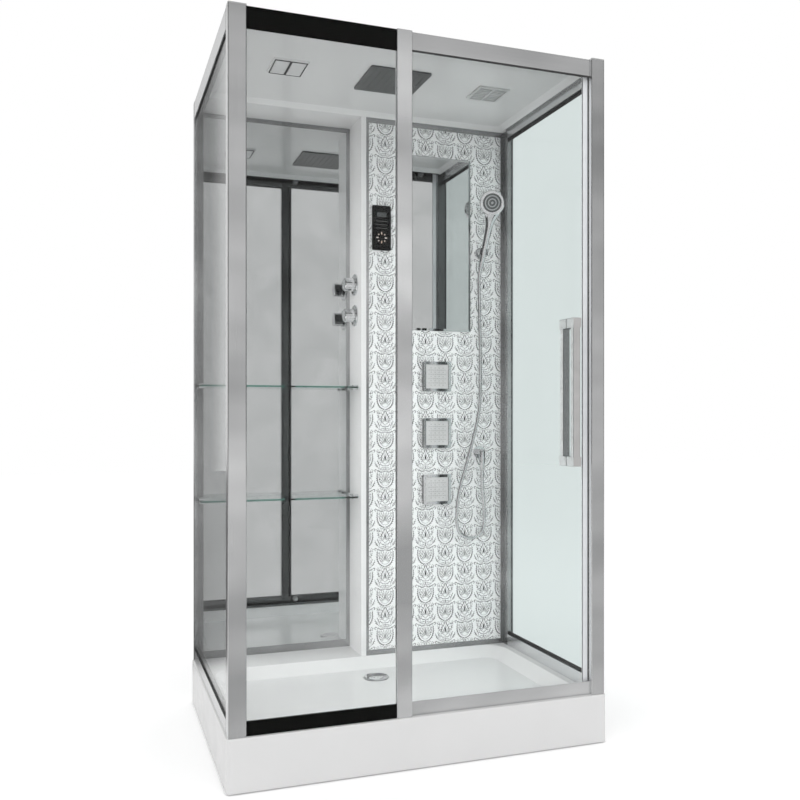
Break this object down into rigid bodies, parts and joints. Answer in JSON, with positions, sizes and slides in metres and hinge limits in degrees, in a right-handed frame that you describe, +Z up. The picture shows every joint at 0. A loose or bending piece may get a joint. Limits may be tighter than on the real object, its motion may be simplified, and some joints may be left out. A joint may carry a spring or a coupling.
{
  "type": "hydromassage shower cabin",
  "caption": "Rectangular shower cabin with a low tray, aluminium frame, clear glass, a sliding front door, and a rear column with body jets, rain head and handset.",
  "frame": {"origin": "on the floor under the middle of the cabin's overall width and depth", "axes": "+X to the right seen from the front, +Y from the door to the back wall, +Z up"},
  "size_m": [1.2, 0.863, 2.199],
  "materials": {
    "white_acrylic": "gloss white acrylic",
    "aluminium_bar": "satin, brushed along the bar",
    "clear_glass": "clear tempered glass, faint green",
    "black_band": "gloss black",
    "dark_rubber": "soft black",
    "seal_plastic": "translucent grey",
    "chrome": "polished",
    "zinc_steel": "zinc plated",
    "dark_steel": "satin steel",
    "white_plastic": "moulded",
    "grey_plastic": "moulded",
    "black_plastic": "moulded",
    "opal_plastic": "opal diffuser",
    "ornamented_glass": "white-backed glass with a grey line ornament",
    "silvered_mirror": "silvered",
    "brass": "cast and turned"
  },
  "bodies": {
    "cabin": {"tray": "white_acrylic", "tray_frame": "zinc_steel", "levelling_feet": "zinc_steel", "drain_body": "white_plastic", "drain_gasket": "dark_rubber", "drain_flange": "chrome", "post_front_left": "aluminium_bar", "post_front_right": "aluminium_bar", "post_middle": "aluminium_bar", "post_back_left": "aluminium_bar", "post_back_right": "aluminium_bar", "post_caps": "grey_plastic", "rail_front_top": "aluminium_bar", "rail_front_bottom": "aluminium_bar", "rails_left": "aluminium_bar", "rails_right": "aluminium_bar", "side_glass": "clear_glass", "glass_front_fixed": "clear_glass", "glass_bands": "black_band", "frame_seals": "dark_rubber", "roof_shell": "white_acrylic", "rain_head": "dark_steel", "lamp_body": "white_acrylic", "lamp_diffusers": "opal_plastic", "vent_grille": "grey_plastic", "fan_housing": "grey_plastic", "column_shell": "white_acrylic", "panel_frame": "aluminium_bar", "panel_glass": "ornamented_glass", "panel_mirror": "silvered_mirror", "control_panel": "black_band", "control_box": "black_plastic", "jet_bezels": "chrome", "jet_faces": "grey_plastic", "jet_bodies": "white_plastic", "handset_holder": "chrome", "outlet_elbow": "chrome", "shower_hose": "chrome", "valve_body": "brass", "valve_roses": "chrome", "supply_pipes": "white_plastic", "niche_mirror": "silvered_mirror", "niche_frame": "aluminium_bar", "glass_shelves": "clear_glass", "shelf_clips": "chrome"},
    "door": {"door_glass": "clear_glass", "door_magnet_seal": "seal_plastic", "door_handles": "chrome", "roller_axles": "zinc_steel"},
    "roller_top_left": {"roller_top_left": "white_plastic"},
    "roller_top_right": {"roller_top_right": "white_plastic"},
    "roller_bottom_left": {"roller_bottom_left": "white_plastic"},
    "roller_bottom_right": {"roller_bottom_right": "white_plastic"},
    "drain_cover": {"drain_cover": "chrome"},
    "fan_rotor": {"fan_rotor": "black_plastic"},
    "mixer_knob": {"mixer_knob": "chrome"},
    "diverter_knob": {"diverter_knob": "chrome"},
    "handset": {"handset": "chrome", "handset_face": "grey_plastic"}
  },
  "joints": [
    {"name": "door_slide", "type": "slide", "parent": "cabin", "child": "door", "axis": [1, 0, 0], "range_m": [-0.436, 0]},
    {"name": "roller_top_left_spin", "type": "hinge", "parent": "door", "child": "roller_top_left", "pos_m": [-0.038, -0.396, 2.1418], "axis": [0, 1, 0], "range_deg": [-2640, 10]},
    {"name": "roller_top_right_spin", "type": "hinge", "parent": "door", "child": "roller_top_right", "pos_m": [0.4735, -0.396, 2.1418], "axis": [0, 1, 0], "range_deg": [-2640, 10]},
    {"name": "roller_bottom_left_spin", "type": "hinge", "parent": "door", "child": "roller_bottom_left", "pos_m": [-0.038, -0.396, 0.1778], "axis": [0, 1, 0], "range_deg": [-2640, 10]},
    {"name": "roller_bottom_right_spin", "type": "hinge", "parent": "door", "child": "roller_bottom_right", "pos_m": [0.4735, -0.396, 0.1778], "axis": [0, 1, 0], "range_deg": [-2640, 10]},
    {"name": "drain_cover_lift", "type": "slide", "parent": "cabin", "child": "drain_cover", "axis": [0, 0, 1], "range_m": [0, 0.06]},
    {"name": "fan_spin", "type": "hinge", "parent": "cabin", "child": "fan_rotor", "pos_m": [0.352, -0.0605, 2.18], "axis": [0, 0, 1], "continuous": true},
    {"name": "mixer_turn", "type": "hinge", "parent": "cabin", "child": "mixer_knob", "pos_m": [-0.03, 0.3435, 1.532], "axis": [1, 0, 0], "range_deg": [-90, 90]},
    {"name": "diverter_turn", "type": "hinge", "parent": "cabin", "child": "diverter_knob", "pos_m": [-0.03, 0.3435, 1.416], "axis": [1, 0, 0], "range_deg": [-120, 120]},
    {"name": "handset_lift", "type": "slide", "parent": "cabin", "child": "handset", "axis": [0.1059, -0.2475, 0.9631], "range_m": [0, 0.09]}
  ],
  "couplings": [
    {"joint": "roller_top_left_spin", "follows": "door_slide", "rad_per_m": 105.26},
    {"joint": "roller_top_right_spin", "follows": "door_slide", "rad_per_m": 105.26},
    {"joint": "roller_bottom_left_spin", "follows": "door_slide", "rad_per_m": 105.26},
    {"joint": "roller_bottom_right_spin", "follows": "door_slide", "rad_per_m": 105.26}
  ]
}
